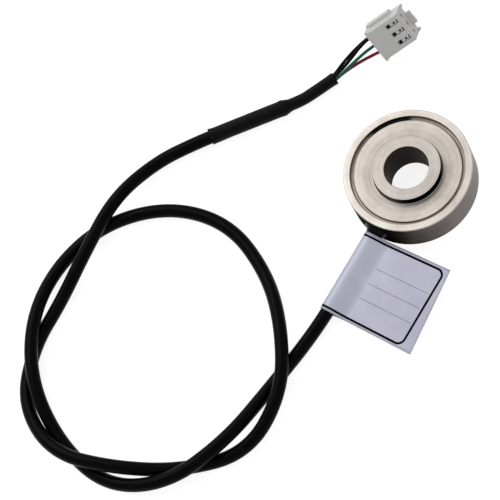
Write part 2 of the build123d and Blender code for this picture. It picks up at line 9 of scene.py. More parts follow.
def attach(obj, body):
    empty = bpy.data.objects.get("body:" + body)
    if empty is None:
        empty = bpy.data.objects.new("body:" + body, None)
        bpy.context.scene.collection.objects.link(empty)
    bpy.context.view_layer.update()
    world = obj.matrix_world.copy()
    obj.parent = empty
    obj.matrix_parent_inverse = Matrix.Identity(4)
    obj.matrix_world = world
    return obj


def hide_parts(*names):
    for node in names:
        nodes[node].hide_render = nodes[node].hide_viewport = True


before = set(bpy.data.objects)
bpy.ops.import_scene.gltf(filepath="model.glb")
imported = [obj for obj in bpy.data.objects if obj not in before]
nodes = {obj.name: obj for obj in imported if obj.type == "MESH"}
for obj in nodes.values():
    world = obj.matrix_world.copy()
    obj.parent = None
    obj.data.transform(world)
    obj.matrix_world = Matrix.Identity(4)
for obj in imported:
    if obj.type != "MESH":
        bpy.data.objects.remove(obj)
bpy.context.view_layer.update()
scene = bpy.context.scene
MM = 0.001


def placed(origin, x_axis, y_axis, z_axis):
    """Matrix that carries a shape's own axes to their directions in the part, from an origin."""
    turn = Matrix((x_axis, y_axis, z_axis)).transposed().to_4x4()
    return Matrix.Translation(origin) @ turn


# Camera
SENSOR_W = 36.0
LENS = 180.0
CAMERA_PLACE = (0.221948, -0.145008, 0.554634)
CAMERA_RIGHT = Vector((0.8019, 0.5417, -0.2520))
CAMERA_UP = Vector((-0.44103, 0.82124, 0.36203))
CAMERA_LOOK = Vector((-0.40307, 0.17917, -0.89746))
NEAREST_M = 0.01


def set_camera():
    """Long lens at the photograph's angle."""
    data = bpy.data.cameras.new("camera")
    data.sensor_width = SENSOR_W
    data.lens = LENS
    data.clip_start = NEAREST_M
    camera = bpy.data.objects.new("camera", data)
    camera.matrix_world = placed(CAMERA_PLACE, CAMERA_RIGHT, CAMERA_UP, -CAMERA_LOOK)
    scene.collection.objects.link(camera)
    scene.camera = camera


# Cable and leads as smooth curves through given routes
CABLE_D = 0.0034
LEAD_D = 0.00082
CABLE_ROUTE = [
    (0.0, -0.0128, 0.00495),
    (0.0, -0.0286, 0.0033),
    (0.0, -0.0445, 0.0018),
    (-0.0020, -0.0625, 0.0017),
    (-0.0027, -0.0785, 0.0052),
    (-0.0091, -0.0945, 0.0052),
    (-0.0234, -0.1026, 0.0017),
    (-0.0400, -0.0998, 0.0017),
    (-0.0543, -0.0910, 0.0052),
    (-0.0642, -0.0772, 0.0054),
    (-0.0683, -0.0615, 0.0017),
    (-0.0636, -0.0462, 0.0017),
    (-0.0510, -0.0346, 0.0017),
    (-0.0348, -0.0313, 0.0017),
    (-0.0192, -0.0377, 0.0017),
    (-0.0069, -0.0478, 0.0054),
    (0.0027, -0.0617, 0.0054),
    (0.0025, -0.0781, 0.0017),
    (-0.0095, -0.0900, 0.0017),
    (-0.0233, -0.0982, 0.0052),
    (-0.0392, -0.1029, 0.0052),
    (-0.0548, -0.0961, 0.0017),
    (-0.0610, -0.0825, 0.0017),
    (-0.0616, -0.0695, 0.0019),
    (-0.0622, -0.0560, 0.0052),
    (-0.0638, -0.0405, 0.0054),
    (-0.0613, -0.0265, 0.00195),
    (-0.0546, -0.0169, 0.0022),
    (-0.0471, -0.0074, 0.0021),
    (-0.0401, 0.0013, 0.00205),
]

# From the jacket's end through the sleeve to the crimps
LEAD_ROUTES = {
    "lead_black_1": [
        (-0.04056, 0.00171, 0.00205),
        (-0.03799, 0.00490, 0.00203),
        (-0.03656, 0.00786, 0.00160),
        (-0.03346, 0.01466, 0.00175),
        (-0.03260, 0.01880, 0.00350),
        (-0.03001, 0.02572, 0.00583),
        (-0.02723, 0.02927, 0.00776),
    ],
    "lead_black_2": [
        (-0.04008, 0.00133, 0.00267),
        (-0.03745, 0.00461, 0.00265),
        (-0.03599, 0.00763, 0.00222),
        (-0.03291, 0.01439, 0.00237),
        (-0.03140, 0.01860, 0.00360),
        (-0.02967, 0.02517, 0.00638),
        (-0.02690, 0.02872, 0.00831),
    ],
    "lead_green": [
        (-0.03960, 0.00093, 0.00205),
        (-0.03694, 0.00424, 0.00203),
        (-0.03544, 0.00734, 0.00160),
        (-0.03234, 0.01414, 0.00175),
        (-0.03078, 0.01816, 0.00306),
        (-0.02805, 0.02450, 0.00500),
        (-0.02503, 0.02809, 0.00677),
    ],
    "lead_red": [
        (-0.04008, 0.00132, 0.00143),
        (-0.03749, 0.00454, 0.00141),
        (-0.03601, 0.00757, 0.00098),
        (-0.03289, 0.01441, 0.00113),
        (-0.03020, 0.01985, 0.00200),
        (-0.02635, 0.02458, 0.00345),
        (-0.02322, 0.02757, 0.00512),
    ],
}


def smooth_line(name, route, resolution):
    """Curve with no thickness, on one smooth line with the route's points as its control points."""
    data = bpy.data.curves.new(name, "CURVE")
    data.dimensions = "3D"
    spline = data.splines.new("NURBS")
    spline.points.add(len(route) - 1)
    for point, place in zip(spline.points, route):
        point.co = (*place, 1.0)
    spline.order_u = 3
    spline.use_endpoint_u = True
    data.resolution_u = resolution
    piece = bpy.data.objects.new(name, data)
    scene.collection.objects.link(piece)
    return piece


def round_cord(name, route, diameter):
    """Round cord along a route."""
    piece = smooth_line(name, route, 16)
    piece.data.bevel_depth = diameter / 2
    piece.data.bevel_resolution = 7
    piece.data.use_fill_caps = True
    return piece


def points_along(line):
    """Points of a curve that has no thickness."""
    bpy.context.view_layer.update()
    mesh = bpy.data.meshes.new_from_object(line)
    points = [vertex.co.copy() for vertex in mesh.vertices]
    bpy.data.meshes.remove(mesh)
    return points


def centreline(cord):
    """Points along a cord's own line, read with its thickness put aside."""
    depth = cord.data.bevel_depth
    cord.data.bevel_depth = 0.0
    points = points_along(cord)
    cord.data.bevel_depth = depth
    return points


def end_stretch(points, length):
    """The last part of a line of points, of a given length."""
    kept = [points[-1]]
    gone = 0.0
    for here, before in zip(points[::-1], points[-2::-1]):
        gone += (before - here).length
        if gone > length:
            break
        kept.append(before)
    return kept[::-1]


# Placing and shaping of pieces
MERGE_MM = 0.0005
CAD_MERGE_M = 0.000002


def add_piece(name, mesh, node):
    """Links a mesh as a piece that rides on the object and stands for a CAD node."""
    piece = bpy.data.objects.new(name, mesh)
    scene.collection.objects.link(piece)
    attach(piece, "root")
    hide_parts(node)
    return piece


def to_mesh(name, bm, smooth=True, turn_outwards=True):
    """Turns a bmesh in millimetres into a mesh in metres."""
    bmesh.ops.scale(bm, vec=(MM, MM, MM), verts=bm.verts)
    if turn_outwards:
        bmesh.ops.recalc_face_normals(bm, faces=bm.faces)
    mesh = bpy.data.meshes.new(name)
    bm.to_mesh(mesh)
    bm.free()
    mesh.polygons.foreach_set("use_smooth", [smooth] * len(mesh.polygons))
    return mesh


def add_wall(piece, name, thickness, offset):
    """Gives a surface a wall of a thickness in millimetres."""
    wall = piece.modifiers.new(name, "SOLIDIFY")
    wall.thickness = thickness * MM
    wall.offset = offset


def turn_profile(bm, profile, axis, steps):
    """Spins a closed profile of points right round an axis through the origin."""
    first = [bm.verts.new(point) for point in profile]
    edges = [bm.edges.new((a, b)) for a, b in zip(first, first[1:] + first[:1])]
    bmesh.ops.spin(
        bm, geom=first + edges, cent=(0, 0, 0), axis=axis, dvec=(0, 0, 0), angle=math.tau,
        steps=steps, use_merge=True, use_duplicate=False,
    )
    bmesh.ops.remove_doubles(bm, verts=bm.verts, dist=MERGE_MM)


def edges_of(vertices):
    """Edges that meet some vertices, each once and always in the same order."""
    return list(dict.fromkeys(edge for vertex in vertices for edge in vertex.link_edges))


def ease_in_out(share):
    """Smooth step from 0 to 1."""
    return share * share * (3 - 2 * share)


# Materials
MIX_FACTOR, MIX_FIRST, MIX_SECOND, MIX_RESULT = 0, 6, 7, 2
BLACK = (0.0, 0.0, 0.0)
WHITE = (1.0, 1.0, 1.0)


class Finish:
    """Short way to build a material's nodes."""

    def __init__(self, name):
        self.material = bpy.data.materials.new(name)
        self.material.use_nodes = True
        self.tree = self.material.node_tree
        self.tree.nodes.clear()
        self.shader = self.tree.nodes.new("ShaderNodeBsdfPrincipled")
        output = self.tree.nodes.new("ShaderNodeOutputMaterial")
        self.tree.links.new(self.shader.outputs["BSDF"], output.inputs["Surface"])

    def add(self, kind, **settings):
        """Adds a node: a setting is one of its sockets, or else one of its own values."""
        node = self.tree.nodes.new(kind)
        for key, value in settings.items():
            if key in node.inputs:
                self.feed(node.inputs[key], value)
            else:
                setattr(node, key, value)
        return node

    def feed(self, socket, value):
        """Links another node's socket, or sets a fixed value."""
        if isinstance(value, bpy.types.NodeSocket):
            self.tree.links.new(value, socket)
        else:
            socket.default_value = value

    def set(self, **inputs):
        """Feeds the shader's own sockets, with _ for each space in their names."""
        for key, value in inputs.items():
            self.feed(self.shader.inputs[key.replace("_", " ")], value)

    def math(self, operation, *values):
        """Result of a sum on sockets or fixed values."""
        node = self.add("ShaderNodeMath", operation=operation)
        for socket, value in zip(node.inputs, values):
            self.feed(socket, value)
        return node.outputs[0]

    def weighed(self, *terms):
        """Sum of (value, weight) terms."""
        total = 0.0
        for value, weight in terms:
            total = self.math("ADD", total, self.math("MULTIPLY", value, weight))
        return total

    def place(self):
        """Place on the object, in metres."""
        return self.add("ShaderNodeTexCoord").outputs["Object"]

    def distance(self, place, spot):
        """Distance of a place from a fixed spot."""
        node = self.add("ShaderNodeVectorMath", operation="DISTANCE")
        self.feed(node.inputs[0], place)
        node.inputs[1].default_value = spot
        return node.outputs["Value"]

    def noise(self, place, scale, detail=3.0, rough=0.5):
        """Even noise from 0 to 1, finer with a larger scale."""
        node = self.add("ShaderNodeTexNoise", Vector=place, Scale=scale, Detail=detail, Roughness=rough)
        return node.outputs["Fac"]

    def ramp(self, value, low, high, out_low, out_high):
        """Carries the range low to high onto out_low to out_high, and stops at its ends."""
        node = self.add("ShaderNodeMapRange", clamp=True)
        sockets = ("Value", "From Min", "From Max", "To Min", "To Max")
        for key, number in zip(sockets, (value, low, high, out_low, out_high)):
            self.feed(node.inputs[key], number)
        return node.outputs[0]

    def blend(self, factor, first, second):
        """Mixes two colours, each a socket or a (red, green, blue)."""
        node = self.add("ShaderNodeMix", data_type="RGBA")
        self.feed(node.inputs[MIX_FACTOR], factor)
        for number, colour in ((MIX_FIRST, first), (MIX_SECOND, second)):
            self.feed(node.inputs[number], (*colour, 1.0) if isinstance(colour, tuple) else colour)
        return node.outputs[MIX_RESULT]

    def bump(self, height, strength, distance):
        """Normal of a surface with a fine relief."""
        node = self.add("ShaderNodeBump", Height=height, Strength=strength, Distance=distance)
        return node.outputs["Normal"]


def turned_steel(name, light, dark, roughness, marks, zones=(), painted_shade=None, metal=1.0):
    """Turned stainless steel: fine rings round the bore's axis, faint tone drift, small dents, and where
    asked a patch of painted shade.

    Each zone is (radius, half its soft edge, share of the colour outside it), in millimetres.
    The painted shade is (place, radius where it starts to fade, radius where it ends, share left), in
    millimetres: a dark patch that darkens the colour and dims the reflection.
    """
    steel = Finish(name)
    place = steel.place()
    x, y, z = steel.add("ShaderNodeSeparateXYZ", Vector=place).outputs
    squares = [steel.math("MULTIPLY", value, value) for value in (x, y)]
    radius = steel.math("SQRT", steel.math("ADD", *squares))
    rings = steel.add("ShaderNodeCombineXYZ", X=radius, Y=z).outputs[0]
    fine = steel.noise(rings, 9000.0, 2.0, 0.7)
    coarse = steel.noise(rings, 1600.0, 2.0)
    cloud = steel.noise(place, 160.0, 4.0, 0.6)
    speck = steel.noise(place, 2600.0, 3.0, 0.6)
    tone = steel.weighed((coarse, 0.38), (cloud, 0.62))
    colour = steel.blend(steel.ramp(tone, 0.35, 0.65, 0.0, 1.0), dark, light)
    share = 1.0
    for edge, width, change in zones:
        change = steel.ramp(radius, (edge - width) * MM, (edge + width) * MM, 1.0, change)
        share = steel.math("MULTIPLY", share, change)
    # Painted shade and painted dark reflection: the patch darkens the colour and, through the specular tint,
    # the reflection
    if painted_shade:
        spot, near, far, left = painted_shade
        ragged = steel.math("MULTIPLY", steel.math("SUBTRACT", cloud, 0.5), 4.0 * MM)
        reach = steel.math("ADD", steel.distance(place, [c * MM for c in spot]), ragged)
        share = steel.math("MULTIPLY", share, steel.ramp(reach, near * MM, far * MM, left, 1.0))
        steel.set(Specular_Tint=steel.blend(share, BLACK, WHITE))
    if zones or painted_shade:
        colour = steel.blend(share, BLACK, colour)
    uneven = steel.weighed((fine, 0.6), (cloud, 0.4))
    height = steel.weighed((fine, marks), (coarse, marks * 0.7), (speck, 0.25))
    steel.set(
        Base_Color=colour,
        Metallic=metal,
        Specular_IOR_Level=0.5 if metal == 1.0 else 0.03,
        Roughness=steel.ramp(uneven, 0.3, 0.7, roughness - 0.06, roughness + 0.08),
        Normal=steel.bump(height, 0.35, 0.00002),
    )
    return steel.material


def soft_plastic(name, colour, roughness, grain, grain_scale, shade=0.8, **more):
    """Moulded, extruded or filled plastic or rubber: slight colour drift and fine grain."""
    plastic = Finish(name)
    place = plastic.place()
    cloud = plastic.noise(place, 220.0)
    fine = plastic.noise(place, grain_scale, 4.0, 0.6)
    darker = tuple(c * shade for c in colour)
    plastic.set(
        Base_Color=plastic.blend(plastic.ramp(cloud, 0.3, 0.7, 0.0, 1.0), darker, colour),
        Roughness=plastic.ramp(cloud, 0.3, 0.7, roughness - 0.05, roughness + 0.06),
        Normal=plastic.bump(fine, grain, 0.00005),
        **more,
    )
    return plastic.material


def plain_metal(name, colour, roughness):
    """Sheet, solder or plated metal with a fine uneven surface."""
    metal = Finish(name)
    place = metal.place()
    cloud = metal.noise(place, 500.0)
    darker = tuple(c * 0.75 for c in colour)
    metal.set(
        Base_Color=metal.blend(metal.ramp(cloud, 0.35, 0.65, 0.0, 1.0), darker, colour),
        Metallic=1.0,
        Roughness=metal.ramp(cloud, 0.3, 0.7, roughness - 0.05, roughness + 0.08),
        Normal=metal.bump(metal.noise(place, 3000.0), 0.15, 0.00002),
    )
    return metal.material


# The label's print, in millimetres across the folded film from the cable and along the cable
BORDER_MIDDLE = (7.9, 10.9)
BORDER_HALF = (12.7, 9.95)
BORDER_CORNER = 1.7
BORDER_HALF_W = 0.26
RULE_ROWS = (7.2, 11.2, 15.2)
RULE_MIDDLE = 12.6
RULE_HALF_L = 7.2
RULE_HALF_W = 0.06
RULE_INK = 0.55
INK_EDGE = 0.04
INK = (0.002, 0.002, 0.003)
FILM = (0.56, 0.55, 0.665)
FILM_DARKER = (0.46, 0.45, 0.565)
FOLD_TINT = (0.47, 0.52, 0.61)
FOLD_TINT_W = 10.0
FOLD_TINT_SHARE = 0.45


def label_film(name):
    """Satin film with a printed border, open towards the cable, and ruled lines of an empty form."""
    film = Finish(name)
    sheet = film.add("ShaderNodeUVMap", uv_map="sheet").outputs[0]
    across, along, _ = film.add("ShaderNodeSeparateXYZ", Vector=sheet).outputs

    def from_border():
        """Distance from the outline of the round-cornered border."""
        over = []
        for value, middle, half in zip((across, along), BORDER_MIDDLE, BORDER_HALF):
            distance = film.math("ABSOLUTE", film.math("SUBTRACT", value, middle))
            over.append(film.math("SUBTRACT", distance, half - BORDER_CORNER))
        squares = [film.math("POWER", film.math("MAXIMUM", value, 0.0), 2.0) for value in over]
        outside = film.math("SQRT", film.math("ADD", *squares))
        inside = film.math("MINIMUM", film.math("MAXIMUM", *over), 0.0)
        return film.math("SUBTRACT", film.math("ADD", outside, inside), BORDER_CORNER)

    def line(distance, half_width):
        """Ink where a distance is under half the line's width, with a slightly soft edge."""
        return film.ramp(film.math("ABSOLUTE", distance), half_width, half_width + INK_EDGE, 1.0, 0.0)

    ink = line(from_border(), BORDER_HALF_W)
    for row in RULE_ROWS:
        rule = line(film.math("SUBTRACT", along, row), RULE_HALF_W)
        span = line(film.math("SUBTRACT", across, RULE_MIDDLE), RULE_HALF_L)
        rule = film.math("MULTIPLY", film.math("MULTIPLY", rule, span), RULE_INK)
        ink = film.math("MAXIMUM", ink, rule)
    bare = film.math("SUBTRACT", 1.0, ink)
    place = film.place()
    cloud = film.noise(place, 140.0)
    fibre = film.noise(place, 5200.0, 3.0, 0.6)
    colour = film.blend(film.ramp(cloud, 0.3, 0.7, 0.0, 1.0), FILM_DARKER, FILM)
    fold = film.math("POWER", film.ramp(across, 0.0, FOLD_TINT_W, 1.0, 0.0), 1.5)
    colour = film.blend(film.math("MULTIPLY", fold, FOLD_TINT_SHARE), colour, FOLD_TINT)
    film.set(
        Base_Color=film.blend(ink, colour, INK),
        Metallic=film.math("MULTIPLY", bare, 0.3),
        Specular_IOR_Level=film.math("MULTIPLY", bare, 0.5),
        Roughness=film.ramp(cloud, 0.3, 0.7, 0.40, 0.50),
        Normal=film.bump(film.weighed((fibre, 0.3), (cloud, 0.7)), 0.12, 0.0001),
    )
    return film.material


def dress(node, material):
    """Gives a CAD node that stays its procedural material."""
    data = nodes[node].data
    data.materials.clear()
    data.materials.append(material)


# Turned ring, in millimetres: radii outwards, then levels up
BORE_R = 5.5
SKIRT_R = 8.0
HUB_R = 8.5
CAVITY_R = 13.2
GROOVE_R = 13.4
COVER_R = 14.2
RIM_INNER_R = 14.25
BODY_R = 16.0
SKIRT_Z = 0.2
COVER_Z = 1.1
WEB_UNDER_Z = 6.8
GROOVE_Z = 7.9
WEB_TOP_Z = 8.4
RIM_Z = 9.0
HUB_Z = 10.3
SUPPORT = 0.04
ON_EDGE = 0.002
RING_STEPS = 192

# Its section as (radius, level, round), and its finishes in the order of ring_finish's numbers
RING_CORNERS = [
    (BORE_R, SKIRT_Z, 0.2), (SKIRT_R, SKIRT_Z, 0.1),
    (SKIRT_R, WEB_UNDER_Z, 0.8), (CAVITY_R, WEB_UNDER_Z, 0.8),
    (CAVITY_R, COVER_Z, 0.05), (COVER_R, COVER_Z, 0.05),
    (COVER_R, 0.0, 0.1), (BODY_R, 0.0, 0.28),
    (BODY_R, RIM_Z, 0.2), (RIM_INNER_R, RIM_Z, 0.13),
    (RIM_INNER_R, GROOVE_Z, 0.2), (GROOVE_R, GROOVE_Z, 0.2),
    (GROOVE_R, WEB_TOP_Z, 0.12), (HUB_R, WEB_TOP_Z, 0.4),
    (HUB_R, HUB_Z, 0.16), (BORE_R, HUB_Z, 0.2),
]
FACE, SIDE, BORE, GROOVE, UNDER, HUB_WALL = range(6)


def supported(corners):
    """The corners' points, with one just beside each round to keep the flat faces flat in their shading."""
    profile = []
    for number, (r, z, size) in enumerate(corners):
        around = (corners[number - 1], (r, z), corners[(number + 1) % len(corners)])
        for side, other in enumerate(around):
            away = math.hypot(other[0] - r, other[1] - z)
            if side == 1:
                profile.append((r, 0.0, z))
            elif away > 2 * (size + SUPPORT):
                share = (size + SUPPORT) / away
                profile.append((r + (other[0] - r) * share, 0.0, z + (other[1] - z) * share))
    return profile


def round_corners(bm, corners):
    """Rounds the turned edge at each corner."""

    def at_corner(vertex, r, z):
        return abs(math.hypot(vertex.co.x, vertex.co.y) - r) < ON_EDGE and abs(vertex.co.z - z) < ON_EDGE

    for r, z, size in corners:
        edges = [edge for edge in bm.edges if all(at_corner(vertex, r, z) for vertex in edge.verts)]
        bmesh.ops.bevel(
            bm, geom=edges, offset=size, segments=3, profile=0.5, affect="EDGES", material=-1,
            offset_type="OFFSET", clamp_overlap=False,
        )


def ring_finish(r, z):
    """Number of the finish that a face of the ring has at a radius and a level."""
    if r > BODY_R - 0.05 and 0.28 < z < RIM_Z - 0.25:
        return SIDE
    if r < BORE_R + 0.1:
        return BORE
    if GROOVE_R - 0.05 < r < RIM_INNER_R + 0.05 and GROOVE_Z - 0.4 < z < RIM_Z - 0.13:
        return GROOVE
    # The hub's wall and the outer part of its top round take the painted-shade finish, which draws a thin
    # dark line round the hub's top
    if HUB_R - 0.1 < r < HUB_R + 0.25 and WEB_TOP_Z < z < HUB_Z - 0.02:
        return HUB_WALL
    if z < WEB_UNDER_Z + 0.1 and r < BODY_R - 1.0:
        return UNDER
    return FACE


def ring_finishes():
    """The ring's materials, in the order of ring_finish's numbers; the side, bore, groove and hub wall are
    darker copies of the face's steel, as painted shade and painted dark reflection.
    """
    return [
        turned_steel(
            "turned_face", light=(0.70, 0.65, 0.60), dark=(0.455, 0.413, 0.374), roughness=0.40, marks=1.5,
            zones=((5.0, 0.1, 0.77), (8.6, 0.1, 0.91), (11.2, 1.2, 1.257), (14.3, 0.1, 1.13)),
        ),
        # Side wall: the same steel painted darker as painted dark reflection, with a near-black patch of
        # painted shade near the cable's exit
        turned_steel(
            "turned_side_painted_shade", light=(0.165, 0.145, 0.132), dark=(0.115, 0.100, 0.090), roughness=0.42, marks=1.2,
            painted_shade=((-2.0, -16.0, 2.0), 4.0, 22.0, 0.02),
        ),
        # Bore wall: the same steel painted near black and without its reflection, as painted shade inside the
        # bore
        turned_steel(
            "bore_wall_painted_shade", light=(0.030, 0.020, 0.012), dark=(0.016, 0.010, 0.006), roughness=0.5, marks=1.2,
            metal=0.0,
        ),
        # Groove wall: the steel painted darker as painted shade in the groove, with a patch of painted dark
        # reflection
        turned_steel(
            "groove_wall_painted_shade", light=(0.36, 0.315, 0.28), dark=(0.24, 0.205, 0.18), roughness=0.40, marks=0.8,
            painted_shade=((-11.0, 8.3, 8.2), 4.8, 6.2, 0.1),
        ),
        turned_steel(
            "under_side", light=(0.52, 0.49, 0.46), dark=(0.42, 0.39, 0.37), roughness=0.42, marks=1.0,
        ),
        # Hub wall: the steel painted darker as painted shade, with a near-black patch of painted shade on its
        # +x, -y side
        turned_steel(
            "hub_wall_painted_shade", light=(0.13, 0.108, 0.09), dark=(0.07, 0.058, 0.05), roughness=0.42, marks=1.0,
            painted_shade=((7.9, -3.2, 9.2), 4.0, 9.0, 0.05),
        ),
    ]


def ring_body():
    """Hub, web and rim, turned from one piece."""
    bm = bmesh.new()
    turn_profile(bm, supported(RING_CORNERS), (0, 0, 1), RING_STEPS)
    round_corners(bm, RING_CORNERS)
    bmesh.ops.recalc_face_normals(bm, faces=bm.faces)
    for face in bm.faces:
        centre = face.calc_center_median()
        face.material_index = ring_finish(math.hypot(centre.x, centre.y), centre.z)
    mesh = to_mesh("ring_body", bm)
    for material in ring_finishes():
        mesh.materials.append(material)
    add_piece("ring_body", mesh, "sensor_body")


# Label, in millimetres: a film folded once round the cable, with its plies on one side of it
LABEL_L = 21.7
LABEL_START = 17.35
PLY = 0.12
LOOP_R = 1.94
JOIN = 5.4
FOLD_LEVEL = 0.3
PLY_LEVEL = 0.55 * PLY
FULL_REACH = 23.0
SHORT_REACH = 21.6
REACH_GAIN = 2.0
DROOP = 0.7
DROOP_POWER = 1.4
SKEW_FIRST = 1.4
SKEW_LAST = 0.7
WAVE = 0.10
RIPPLE = 0.05


def label_section(side, reach):
    """Point on the film for a distance across the folded sheet: top ply, loop round the cable, lower ply."""
    sign = 1.0 if side >= 0 else -1.0
    if reach <= 0.0:
        turn = min(-reach / LOOP_R, math.pi / 2)
        return -LOOP_R * math.sin(turn), sign * LOOP_R * math.cos(turn)
    flat = FOLD_LEVEL + sign * PLY_LEVEL
    if reach < JOIN:
        ease = ease_in_out(reach / JOIN)
        return reach, sign * LOOP_R * (1 - ease) + flat * ease
    return reach, flat - DROOP * ((reach - JOIN) / (FULL_REACH - JOIN)) ** DROOP_POWER


def label_mesh():
    """The film as a grid: half its width for each ply, with its flat size kept as UV."""
    bm = bmesh.new()
    uv = bm.loops.layers.uv.new("sheet")
    bmesh.ops.create_grid(bm, x_segments=180, y_segments=26, size=1.0)
    start, end = Vector(CABLE_ROUTE[0]) / MM, Vector(CABLE_ROUTE[2]) / MM
    along = (end - start).normalized()
    up = Vector((0.0, along.z, -along.y))
    origin = start + along * ((LABEL_START + start.y) / -along.y)
    quarter = LOOP_R * math.pi / 2
    sheet = {}
    for vertex in bm.verts:
        side, run = vertex.co.x, (vertex.co.y + 1) / 2
        full = SHORT_REACH + REACH_GAIN * run
        reach = abs(side) * (full + quarter) - quarter
        x, y = label_section(side, reach)
        share = max(reach, 0.0) / full
        shift = -share * (SKEW_FIRST * (1 - run) + SKEW_LAST * run)
        ripple = noise.noise(Vector((x * 0.16, run * 3.0, 2.0)))
        wave = share * (WAVE * math.sin(3.0 * run + 0.6) + RIPPLE * ripple)
        sheet[vertex] = (reach, run * LABEL_L)
        vertex.co = origin + Vector((x, 0, 0)) + along * (run * LABEL_L + shift) + up * (y + wave)
    for face in bm.faces:
        for loop in face.loops:
            loop[uv].uv = sheet[loop.vert]
    return to_mesh("cable_label", bm, turn_outwards=False)


def folded_label():
    """The film with its print and its real thickness."""
    mesh = label_mesh()
    mesh.materials.append(label_film("label_film"))
    piece = add_piece("folded_label", mesh, "cable_label")
    add_wall(piece, "film", PLY, 0.0)
    return piece


# Sealant where the cable enters the rim, in millimetres: its section as (radius, place along the cable)
SEALANT_Z = 4.7
SEALANT_OUTLINE = [
    (1.6, -17.3), (1.95, -17.15), (2.25, -16.7), (2.6, -16.25), (3.0, -15.9), (3.25, -15.55), (3.1, -15.2),
    (1.6, -15.2),
]
SEALANT_BORE_R = 1.7
SEALANT_SWELL = 0.16


def sealant_bead():
    """Uneven collar of sealant round the cable."""
    bm = bmesh.new()
    turn_profile(bm, [(r, y, 0.0) for r, y in SEALANT_OUTLINE], (0, 1, 0), 72)
    bmesh.ops.subdivide_edges(bm, edges=bm.edges, cuts=1, use_grid_fill=True)
    for vertex in bm.verts:
        x, y, z = vertex.co
        if math.hypot(x, z) > SEALANT_BORE_R:
            swell = 1.0 + SEALANT_SWELL * noise.noise(Vector((x * 0.7, y * 0.8, z * 0.7)))
            vertex.co = (x * swell, y, z * swell)
    bmesh.ops.translate(bm, verts=bm.verts, vec=(0, 0, SEALANT_Z))
    bmesh.ops.smooth_vert(bm, verts=bm.verts, factor=0.4, use_axis_x=True, use_axis_y=True, use_axis_z=True)
    mesh = to_mesh("sealant_bead", bm)
    mesh.materials.append(soft_plastic(
        "sealant", (0.002, 0.002, 0.0025), roughness=0.42, grain=0.35, grain_scale=900.0,
        Specular_IOR_Level=0.10,
    ))
    add_piece("sealant_bead", mesh, "cable_seal")


# Shrink sleeve's route past the jacket's end
SLEEVE_AHEAD = [(-0.03747, 0.00457, 0.00203), (-0.0360, 0.0076, 0.0016), (-0.0329, 0.0144, 0.00175)]

# Its form, in millimetres
ON_JACKET = 20.3
SLEEVE_R = 2.0
NECK_R = 1.55
NECK_RUN = 2.2
SLEEVE_WALL = 0.22
MOUTH_FLARE, MOUTH_FADE = 0.13, 0.8
RIDGE, RIDGE_WIDTH, RIDGE_AT, RIDGE_FROM = 0.10, 0.5, -0.2, -1.2
END_FLARE, END_FADE = 0.12, 0.9
PUCKER, PUCKER_FADE, PUCKER_COUNT, PUCKER_TWIST, PUCKER_TURN = 0.07, 2.2, 3, 1.1, 0.8
LUMP = 0.03
SQUEEZE, SQUEEZE_RUN = 0.10, 3.0
CABLE_SIDE = Vector((0.78, -0.63, 0.0))
FLOOR_GAP = 0.02
SLEEVE_STEPS = 96
SLEEVE_SIDES = 48


def sleeve_line(cable_line):
    """Points along the sleeve's middle, and the number of the one at the jacket's end."""
    over = end_stretch(cable_line, ON_JACKET * MM)
    guide = smooth_line("sleeve_line", [tuple(over[-1])] + SLEEVE_AHEAD, 12)
    past = points_along(guide)
    bpy.data.objects.remove(guide)
    return [point / MM for point in over + past[1:]], len(over) - 1


def sleeve_radius(run, past, left):
    """Radius at a place on the sleeve: flared mouth, ridge over the jacket's end, neck and flared end.

    run is the distance from its start, past the distance past the jacket's end, left the distance to its end.
    """
    radius = SLEEVE_R + MOUTH_FLARE * math.exp(-run / MOUTH_FADE)
    if past > RIDGE_FROM:
        radius += RIDGE * math.exp(-((past - RIDGE_AT) / RIDGE_WIDTH) ** 2)
    if past > 0:
        ease = ease_in_out(min(past / NECK_RUN, 1.0))
        radius = radius * (1 - ease) + NECK_R * ease
        radius += END_FLARE * math.exp(-left / END_FADE)
    return radius


def sleeve_stations(line, jacket_end):
    """Evenly spaced (point, radius, distance from the start, distance past the jacket's end)."""
    runs = [0.0]
    for here, ahead in zip(line, line[1:]):
        runs.append(runs[-1] + (ahead - here).length)
    total = runs[-1]
    stations = []
    for step in range(SLEEVE_STEPS + 1):
        run = total * step / SLEEVE_STEPS
        before = max(number for number in range(len(runs) - 1) if runs[number] <= run + 1e-9)
        share = (run - runs[before]) / (runs[before + 1] - runs[before])
        past = run - runs[jacket_end]
        point = line[before].lerp(line[before + 1], share)
        stations.append((point, sleeve_radius(run, past, total - run), run, past))
    return stations


def across_line(point, along):
    """Matrix that carries a flat circle to a point, across a direction."""
    side = along.cross(Vector((0, 0, 1))).normalized()
    return placed(point, side, side.cross(along).normalized(), along)


def add_tube(bm, stations):
    """Open tube with a circle at each station, bridged to the next."""
    circles = []
    points = [station[0] for station in stations]
    for number, (point, radius, _, _) in enumerate(stations):
        along = (points[min(number + 1, len(points) - 1)] - points[max(number - 1, 0)]).normalized()
        matrix = across_line(point, along)
        circle = bmesh.ops.create_circle(bm, segments=SLEEVE_SIDES, radius=radius, matrix=matrix)
        circles.append(edges_of(circle["verts"]))
    for before, after in zip(circles, circles[1:]):
        bmesh.ops.bridge_loops(bm, edges=before + after)


def unevenness(place, turn, run, past):
    """How far the sleeve stands out or in: puckers at its mouth, lumps all along and a squeezed neck."""
    folds = math.sin(PUCKER_COUNT * turn + PUCKER_TWIST * run + PUCKER_TURN)
    pucker = PUCKER * math.exp(-run / PUCKER_FADE) * folds
    lump = LUMP * noise.noise(place * 0.45 + Vector((3.0, 1.0, 0.0)))
    squeeze = SQUEEZE * math.sin(2 * turn + 0.5) * min(max(past / SQUEEZE_RUN, 0.0), 1.0)
    return pucker + lump + squeeze * noise.noise(Vector((run * 0.25, 0.0, 5.0)))


